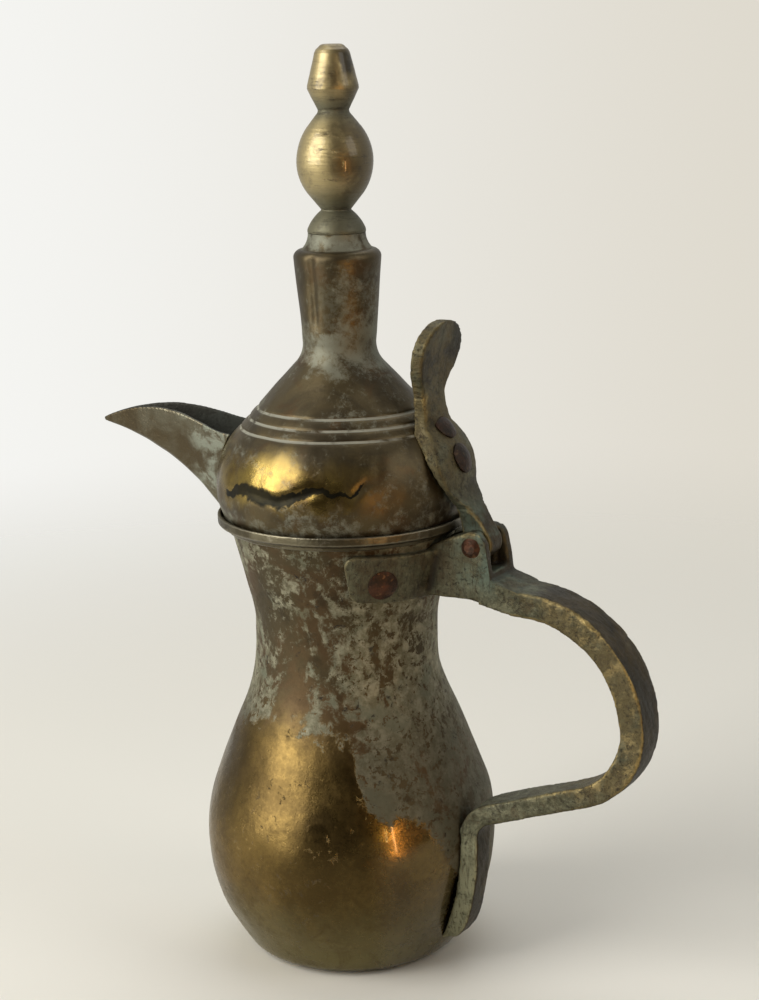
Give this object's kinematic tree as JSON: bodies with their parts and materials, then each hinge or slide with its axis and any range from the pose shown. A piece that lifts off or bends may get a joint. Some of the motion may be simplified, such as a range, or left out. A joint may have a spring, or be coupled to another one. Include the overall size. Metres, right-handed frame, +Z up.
{
  "type": "coffee pot",
  "caption": "Waisted brass coffee pot of the dallah kind, with an open crescent beak, a riveted loop handle and a hinged domed lid that carries a tall turned finial.",
  "frame": {"origin": "centre of the flat underside, on the pot's axis", "axes": "+Z up along the pot's axis, +X towards the handle, -X towards the spout, +Y completes the right-handed frame"},
  "size_m": [0.2023, 0.0986, 0.3004],
  "materials": {
    "vessel": "worn, with grey tinned patches",
    "lid": "dark brown patina",
    "finial": "turned, half bright",
    "casting": "cast, green-grey patina",
    "rivets": "dark copper red"
  },
  "bodies": {
    "pot": {"base_disc": "vessel", "belly": "vessel", "neck": "vessel", "rim_band": "vessel", "spout": "vessel", "handle": "casting", "arm_rivets": "rivets", "hinge_pin": "rivets"},
    "lid": {"lid_dome": "lid", "lid_bezel": "lid", "lid_chimney": "lid", "chimney_cap": "lid", "finial_collar": "lid", "finial": "finial", "finial_washer": "lid", "lid_strap": "casting", "strap_rivets": "rivets"}
  },
  "joints": [
    {"name": "lid_hinge", "type": "hinge", "parent": "pot", "child": "lid", "pos_m": [0.0505, 0, 0.144], "axis": [0, 1, 0], "range_deg": [0, 105]}
  ]
}
